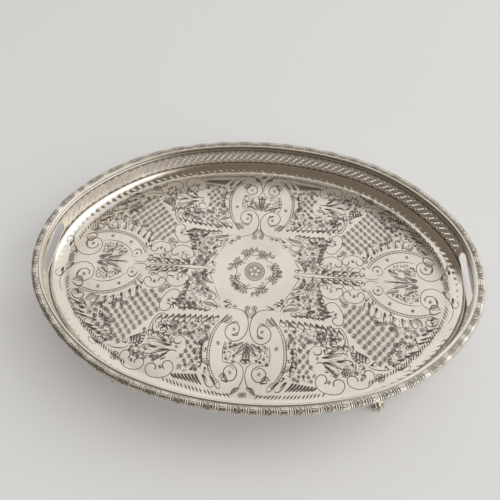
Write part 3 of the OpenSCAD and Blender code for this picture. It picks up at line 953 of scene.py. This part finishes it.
def end_half(c):
    """Half of the cartouche at an end."""
    c.line([116.3, 9.6, 117.4, 14.2, 121.4, 16.2, 125, 13.6], 0.95, 0.3, 0.3)
    c.line([125, 13.6, 126, 9.6, 123.4, 6.4, 119, 6.6], 0.45)
    c.punch(121.2, 10.8, 1.5)
    c.beads([111.4, 12, 116, 20, 124, 27.6, 135, 33.2, 148, 36, 160, 35, 171, 31.6], 2.4)
    c.line([108, 6, 110.4, 1.6, 117, 0.9, 122, 2.6], 0.5)
    c.line([126, 11.6, 132, 17.6, 141, 22.4, 151, 24.2, 160, 23], 0.6)
    c.punch(131, 24.4, 1.8)
    c.punch(151.6, 29.8, 1.8)
    c.line([164, 18, 164.6, 14.4, 168.5, 12, 173.4, 13, 176.4, 17.4, 175.4, 22.4, 170.6, 25.2,
        164.6, 24.6, 160.4, 20.4, 160, 13.6, 163, 7.8, 169, 4.6, 176, 4.8, 183, 9, 188, 16, 190, 25,
        187.6, 33.4, 183.6, 39], 0.56, 1.6, 0.3)
    c.line([173.5, 14, 175.6, 18, 174.6, 21.6], 0.8)
    c.punch(169.2, 18.2, 1.9)
    c.leaf((167.6, 26), (179, 25.6), 5.2, -0.2, 0.95)
    c.line([167.8, 26, 168, 30, 172, 31.4, 178.6, 27.6], 0.9, 0.8, 0.3)
    c.line([163.6, 38.4, 163.2, 42, 166.6, 44.4, 172, 43, 175.6, 38], 0.8, 1.0, 0.3)
    c.each(c.leaf, (168, 40, 176.5, 36, 4.2, -0.14, 0.95), (172, 34, 163.5, 37.5, 3.2, -0.14, 0.95))
    # sprig and matted ground inside
    c.each(c.leaf, (160, 3.5, 146, 7, 5.2, 0.12, 0.8), (150, 2, 136, 7.6, 5.4, 0.14, 0.9),
        (154, 8, 146, 15, 4.2, 0.16, 0.8), (141, 9, 131, 12.6, 4.6, 0.14, 0.95))
    c.line([127, 0.8, 143, 0.4, 158, 1.0], 0.7)
    c.bed([131, 13, 144, 12, 158, 8, 158, 19, 150, 21.5, 141, 19.5], 2.2, (0.15, 0.7, 0.15),
        (0.8, 1.4))
    c.floret(155.4, 3.4, 2.4, 6, 0.3)
    c.floret(186.6, 2.6, 2.7, 5, 0.9)
    c.each(c.blade, (182, 5.6, 188.4, 13.6, 1.4, -0.12), (191, 12, 192.6, 24, 1.5, -0.06))


def centre(c):
    """Flower, matted disc and wreath."""
    for i in range(5):
        a = math.pi / 2 + 2 * math.pi * i / 5
        p = 3.6 * polar(a)
        c.ring(*p, 2.3, 0.5, 12, a + math.pi, 5.9)
        c.tick(*(p * 0.75), a, 1.9, 0.5)
    c.ring(0, 0, 1.0, 0.5, 8)
    c.ring(0, 0, 10.0, 0.5, 48)
    for i in range(64):
        a = 2 * math.pi * i / 64
        lobe = 5.9 + 0.5 * math.cos(5 * (a - math.pi / 2))
        d = polar(a)
        c.line([d * lobe, d * (lobe + 9.7) / 2, d * 9.7], 0.3, 0.9, 0.7)
    for i in range(5):
        a = math.pi / 2 + 2 * math.pi * (i + 0.5) / 5
        c.tick(*(4.6 * polar(a)), a, 2.4, 0.8)
    vine = []
    for i in range(16):
        a = 2 * math.pi * (i + 0.25) / 16
        r = (17.6, 20.8)[i % 2] + c.rng.uniform(-0.5, 0.5)
        vine.append(r * polar(a))
    c.line(vine + vine[:1], 0.5, 0.9, 0.9)
    for i in range(8):
        a = 2 * math.pi * (i + 0.5) / 8 + c.rng.uniform(-0.09, 0.09)
        d, n = polar(a), polar(a + math.pi / 2)
        lean = c.rng.choice((-1, 1))
        out = 19.6 + c.rng.uniform(-1.0, 1.0)
        c.floret(*(d * out), 3.3, 6, a)
        curl = d * (out + 1.2) + n * lean * 5.2
        c.ring(*curl, 2.3, 0.5, 10, a + lean, 5.1)
        c.ring(*curl, 1.1, 0.5, 7, a - lean, 4.6)
        for k in (-0.9, -0.3, 0.3, 0.9):
            tip = d * math.cos(k) + n * math.sin(k)
            c.blade(d * out + tip * 3.4, d * out + tip * 6.6, 1.5, 0.2 * lean)
        c.ring(*(d * (out - 4.4) - n * lean * 2.6), 1.2, 0.42, 7, a, 5.0)
        b = a + lean * 0.36
        e, m = polar(b), polar(b + math.pi / 2)
        for k in (-1, 1):
            c.leaf(e * 22.5 + m * k * 0.5, e * 28.2 + m * k * 2.6, 2.8, 0.14 * k, 0.8)


def rim_cuts(c):
    """Groups of short slanted cuts just inside the plate's edge, clear of the scrolls."""
    for arc in ARCS[:3]:
        r = arc[2] - RIM_CUT
        t0, t1 = max(arc[3], 0.02), min(arc[4], math.pi / 2)
        groups = max(2, int((t1 - t0) * r / 15))
        for g in range(groups):
            for k in range(5):
                t = t0 + (t1 - t0) * (g + 0.08 + 0.19 * k) / groups
                x, y = arc[:2] + r * polar(t)
                size = 2.6 * math.sin(math.pi * (k + 0.8) / 5.6) + 4.2
                if x >= 10 and y >= 24 and not 70 < x < 106:
                    c.tick(x, y, t + 0.75, size, 1.1)


# fields that the filling leaves stay out of, in the quarter x > 0, y > 0
PLAIN = [
    [0, 40, 27, 41, 30, 55, 35, 70, 36, 85, 34, 100, 28, 112, 32, 122, 0, 126],
    [106, 0, 109, 12, 116, 22, 125, 30, 137, 36, 150, 38.5, 164, 37.5, 177, 35, 181, 44, 189, 38,
     194, 20, 194, 0],
    [56, 76, 66, 74, 60, 82, 66, 90, 74, 96, 62, 98, 54, 90],
    [62, 98, 74, 98, 88, 101, 90, 108, 84, 118, 60, 118, 61, 106],
    [88, 98, 98, 97, 104, 90, 113, 90, 124, 92, 124, 102, 108, 114, 90, 118, 88, 104],
    [62, 9, 72, 9, 80, 11, 88, 11, 88, 18, 80, 26, 68, 25, 62, 16],
    [86, 14, 93, 13, 98, 17, 104, 13, 109, 16, 108, 26, 98, 29, 88, 25],
    [69, 27, 80, 25, 89, 38, 89, 50, 78, 52, 84, 44, 80, 34, 70, 38],
    [27, 43, 50, 45.5, 84, 46, 90, 52, 84, 51, 50, 49.4, 27, 48.8],
    [93, 28, 108, 31, 118, 41, 132, 49, 145, 56, 139, 67, 131, 79, 119, 88, 107, 77, 96, 68, 88, 58,
     86, 42],
    [104, 86, 130, 87, 140, 84, 160, 72, 176, 56, 186, 40, 194, 60, 120, 110],
    [78, 55, 86, 55, 90, 62, 91, 70, 88, 78, 87, 66, 82, 58],
    [44, 70, 61, 69, 56, 84, 62, 99, 52, 101, 46, 97, 48, 84],
    [38, 119, 62, 116, 62, 128, 30, 128],
    [24, 122, 40, 105, 68, 107, 66, 120],
]

for title, (sx, sy) in {"front_right": (1, -1), "front_left": (-1, -1), "back_right": (1, 1),
                        "back_left": (-1, 1)}.items():
    c = Chaser(11 + sx + 3 * sy, sx, sy)
    front_half(c)
    corner(c)
    end_half(c)
    rim_cuts(c)
    c.fill(9000, 1.9, PLAIN)
    c.fill(9000, 1.3, PLAIN)
    c.piece("chasing_" + title)
c = Chaser(5)
centre(c)
c.piece("chasing_centre")


# ---- feet: a paw of three clawed toes, a ribbed leg, and a leaf-shaped pad under the plate ----
TOE = 14 / 4.4      # radius of a toe
VOXEL = 0.34        # grain of the mesh
SOLE = 0.03         # gap under the feet
SHIN_R = 6.4        # the leg's bow
PAD_ROWS, PAD_COLS = 30, 29
PAD_INSET = 24.5    # the pad's inner end, its reach outwards, its half width and thickness
PAD_LONG, PAD_HALF, PAD_THICK = 11.0, 7.4, 1.45


def closed_tube(path, radii, ribs=0, depth=0.0, around=28):
    """A round solid along a path of points, with ribs along it, as (points, faces)."""
    t = runs(path)
    side = np.cross(t, (0.0, 1.0, 0.0))
    side /= np.linalg.norm(side, axis=1)[:, None]
    over = np.cross(side, t)
    a = np.linspace(0, 2 * np.pi, around, endpoint=False)
    bulge = radii[:, None] * (1 + depth * np.cos(ribs * a)[None, :])
    rings = (path[:, None] + bulge[..., None] * (side[:, None] * np.cos(a)[None, :, None]
                                              + over[:, None] * np.sin(a)[None, :, None]))
    points = np.vstack([rings.reshape(-1, 3), path[:1], path[-1:]])
    n, m = len(path), around
    faces = grid_faces(n, m, closed_cols=True)
    for k in range(m):
        faces.append([n * m, (k + 1) % m, k])
        faces.append([n * m + 1, (n - 1) * m + k, (n - 1) * m + (k + 1) % m])
    return points, faces


def foot_parts(arc, tip):
    """Overlapping solids of one foot; x runs outwards from the outline, y along it."""
    parts = []
    for side in (-1, 0, 1):
        turn = math.radians(16 * side)
        c, d = math.cos(turn), math.sin(turn)
        root = np.array([TOE * (3 - 0.25 * abs(side)), side * TOE * 0.6])
        base = np.array([-3 * TOE + c * root[0] - d * root[1], d * root[0] + c * root[1]])

        def place(*points):
            """A line of (reach, height) in toe radii, turned and moved to this toe."""
            q = through([(x * TOE, 0, z * TOE) for x, z in points], 0.35)
            return np.column_stack([base[0] + c * q[:, 0], base[1] + d * q[:, 0], q[:, 2]])

        toe = place((-3.1, 1.5), (-2.4, 1.5), (-1.6, 1.25), (-1.0, 0.92), (-0.5, 0.78))
        k = np.linspace(0, 1, len(toe))
        swell = 0.80 + 0.14 * np.sin(np.pi * (k * 2.1 - 0.35)) ** 2 + 0.05 * k
        swell *= np.sqrt(np.clip((1.04 - k) * 9, 0, 1))
        parts.append(closed_tube(toe, TOE * swell))
        claw = place((-0.95, 0.8), (-0.5, 0.66), (-0.16, 0.36), (-0.06, 0.08))
        parts.append(closed_tube(claw, np.linspace(0.42, 0.16, len(claw)) * TOE))
        pad = place((-2.5, 0.62), (-1.4, 0.56), (-0.8, 0.5))
        parts.append(closed_tube(pad, np.full(len(pad), 0.5 * TOE)))
    ankle = (-3 * TOE, 0, 1.5 * TOE)
    shin = [(ankle[0] - SHIN_R + SHIN_R * math.cos(t), 0, ankle[2] + SHIN_R * math.sin(t))
            for t in np.linspace(-0.25, 1.082, 7)]
    x, _, z = shin[-1]
    leg = through(shin + [(x - 0.47 * far, 0, z + 0.883 * far) for far in (5, 9)], 0.35)
    k = np.linspace(0, 1, len(leg))
    girth = 2.75 + 0.55 * np.exp(-((k - 0.05) / 0.09) ** 2) + 1.25 * smooth(0.6, 1, k)
    parts.append(closed_tube(leg, girth, 7, 0.075, 56))
    ring = through([leg[int(len(leg) * f)] for f in (0.2, 0.235, 0.27)], 0.2)
    parts.append(closed_tube(ring, 3.2 * np.sqrt(1 - 0.5 * np.linspace(-1, 1, len(ring)) ** 2)))
    # the pad: ribs fan out over a leaf that follows the cove
    rows = []
    for layer in (0, 1):
        for f in np.linspace(0.02, 0.98, PAD_ROWS):
            inset = PAD_INSET - PAD_LONG * f
            wide = PAD_HALF * math.sin(math.pi * f ** 0.8) ** 0.5
            y = np.linspace(-1, 1, PAD_COLS) * wide
            z = float(cove_z(inset, COVE_R + SHEET, PLATE_TOP - SHEET))
            ribs = PAD_THICK * (1 - 0.45 * np.abs(y / wide) ** 3)
            low = z - ribs - 0.12 * np.cos(y * 3.2) + 0.1
            x = np.sqrt((arc[2] - inset) ** 2 - y ** 2) - arc[2] + tip
            rows.append(np.column_stack([x, y, low if layer else np.full(PAD_COLS, z + 0.25)]))
    n, m = PAD_ROWS, PAD_COLS
    faces = grid_faces(n, m) + [f[::-1] for f in grid_faces(n, m, first=n * m)]
    edge = [*range(m), *(i * m + m - 1 for i in range(1, n)),
            *((n - 1) * m + i for i in range(m - 2, -1, -1)), *(i * m for i in range(n - 2, 0, -1))]
    for a, b in zip(edge, edge[1:] + edge[:1]):
        faces.append([b, a, a + n * m, b + n * m])
    parts.append((np.vstack(rows), faces))
    return parts


def read(items, name, width, kind=float):
    """One value, such as co or vertices, of all items of a mesh."""
    out = np.empty(len(items) * width, kind)
    items.foreach_get(name, out)
    return out.reshape(-1, width)


def build_foot(name, arc, degrees, tip):
    points, faces = [], []
    for part, part_faces in foot_parts(arc, tip):
        first = sum(len(q) for q in points)
        points.append(part)
        faces += [[v + first for v in f] for f in part_faces]
    rough = make_mesh(name + "_rough", np.vstack(points), faces, FOOT_MAT)
    joined = rough.modifiers.new("joined", "REMESH")
    joined.mode = "VOXEL"
    joined.voxel_size = VOXEL * MM
    worn = rough.modifiers.new("worn", "SMOOTH")
    worn.factor, worn.iterations = 0.5, 2
    solid = rough.evaluated_get(bpy.context.evaluated_depsgraph_get()).to_mesh()
    co = read(solid.vertices, "co", 3) / MM
    normal = read(solid.vertices, "normal", 3)
    edges = read(solid.edges, "vertices", 2, int)
    faces = [list(f.vertices) for f in solid.polygons]
    bpy.data.objects.remove(rough)
    # the foot is drawn darker where its surface is hollow and less dark where it bulges
    total, count = np.zeros_like(co), np.zeros(len(co))
    for a, b in ((0, 1), (1, 0)):
        np.add.at(total, edges[:, a], co[edges[:, b]])
        np.add.at(count, edges[:, a], 1)
    hollow = ((total / count[:, None] - co) * normal).sum(1)
    darkening = np.clip(0.12 + hollow / 0.035, 0, 0.95)
    # into place, under the plate and on the table
    turn = math.radians(degrees)
    c, d = math.cos(turn), math.sin(turn)
    x = co[:, 0] - tip
    out = np.column_stack([arc[0] + arc[2] * c + c * x - d * co[:, 1],
                           arc[1] + arc[2] * d + d * x + c * co[:, 1], np.maximum(co[:, 2], SOLE)])
    inset = arc[2] - np.hypot(out[:, 0] - arc[0], out[:, 1] - arc[1])
    limit = cove_z(inset, COVE_R + SHEET, PLATE_TOP - SHEET) - 0.02
    inner = inset > 9
    out[inner, 2] = np.minimum(out[inner, 2], limit[inner])
    return make_mesh(name, out, faces, FOOT_MAT, depth=darkening)


# the corner, its arc, the foot's direction, and how far the toes stand inside the outline
for name, arc, degrees, tip in (
        ("front_left", ARCS[5], 243.5, 4.0), ("front_right", ARCS[7], 296.5, 0.5),
        ("back_left", ARCS[3], 116.5, 2.0), ("back_right", ARCS[1], 63.5, 2.0)):
    add(build_foot("paw_foot_" + name, arc, degrees, tip), "foot_silver", "foot_" + name)

# ---- floor, light, camera ----
def build_floor():
    m = bpy.data.materials.new("floor")
    m.use_nodes = True
    b = m.node_tree.nodes["Principled BSDF"]
    b.inputs["Base Color"].default_value = (0.70, 0.70, 0.70, 1)
    b.inputs["Roughness"].default_value = 0.55
    b.inputs["Specular IOR Level"].default_value = 0.25
    n = 24
    xs = np.linspace(-3500, 3500, n)
    make_mesh("floor", [(x, y, -0.05) for y in xs for x in xs], grid_faces(n, n), m)


build_floor()


def lamp(name, place, size, power, colour):
    """A soft light aimed at the tray. The silver doesn't mirror it."""
    data = bpy.data.lights.new(name, "AREA")
    data.shape = "RECTANGLE"
    data.size, data.size_y = size
    data.energy = power
    data.color = colour
    obj = bpy.data.objects.new(name, data)
    obj.location = place
    obj.rotation_euler = (-Vector(place)).to_track_quat("-Z", "Y").to_euler()
    obj.visible_glossy = False
    bpy.context.scene.collection.objects.link(obj)


lamp("key", (2.4, 1.2, 1.8), (2.2, 2.2), 36, (1.0, 0.995, 0.98))
lamp("fill", (-0.2, -1.6, 2.4), (2.6, 1.8), 24, (1.0, 1.0, 1.0))

# the room that the silver mirrors: dim, with a pale wall behind and a window at the right
world = bpy.data.worlds.new("room")
bpy.context.scene.world = world
world.use_nodes = True
tree = world.node_tree
direction = node(tree, "TexCoord", {}, "Generated")
pale = []
for axis, low, high in (((0.351, 0.936, 0.0), -0.08, 0.20), ((0.95, -0.31, 0.0), 0.45, 0.80)):
    toward = node(tree, "VectorMath", {0: direction, 1: axis}, "Value", operation="DOT_PRODUCT")
    pale.append(map_range(tree, toward, low, high, interpolation_type="SMOOTHSTEP"))
either = node(tree, "Math", {0: pale[0], 1: pale[1]}, "Value", operation="MAXIMUM")
colour = mix(tree, either, (0.21, 0.175, 0.135, 1), (1.0, 0.99, 0.975, 1))
strength = node(tree, "Math", {0: pale[1], 1: 0.75, 2: 0.85}, "Value", operation="MULTIPLY_ADD")
tree.links.new(colour, tree.nodes["Background"].inputs["Color"])
tree.links.new(strength, tree.nodes["Background"].inputs["Strength"])

# The camera stands where the photographer did.
AZ, EL, ROLL = math.radians(6.17), math.radians(57.48), math.radians(-0.9)
DIST, LENS = 0.48386, 34.14
AIM = Vector((-0.00655, 0.02339, 0.018))
back = Vector((math.sin(AZ) * math.cos(EL), -math.cos(AZ) * math.cos(EL), math.sin(EL)))
right = (-back).cross(Vector((0, 0, 1))).normalized()
up = right.cross(-back)
r2 = right * math.cos(ROLL) + up * math.sin(ROLL)
u2 = -right * math.sin(ROLL) + up * math.cos(ROLL)
cam = bpy.data.objects.new("camera", bpy.data.cameras.new("camera"))
cam.data.sensor_width = 36
cam.data.lens = LENS
cam.data.clip_start = 0.01
place = AIM + back * DIST - 0.0003 * r2 + 0.0011 * u2
cam.matrix_world = Matrix(((r2.x, u2.x, back.x, place.x), (r2.y, u2.y, back.y, place.y),
                           (r2.z, u2.z, back.z, place.z), (0, 0, 0, 1)))
bpy.context.scene.collection.objects.link(cam)
bpy.context.scene.camera = cam
bpy.context.scene.view_settings.view_transform = "Standard"
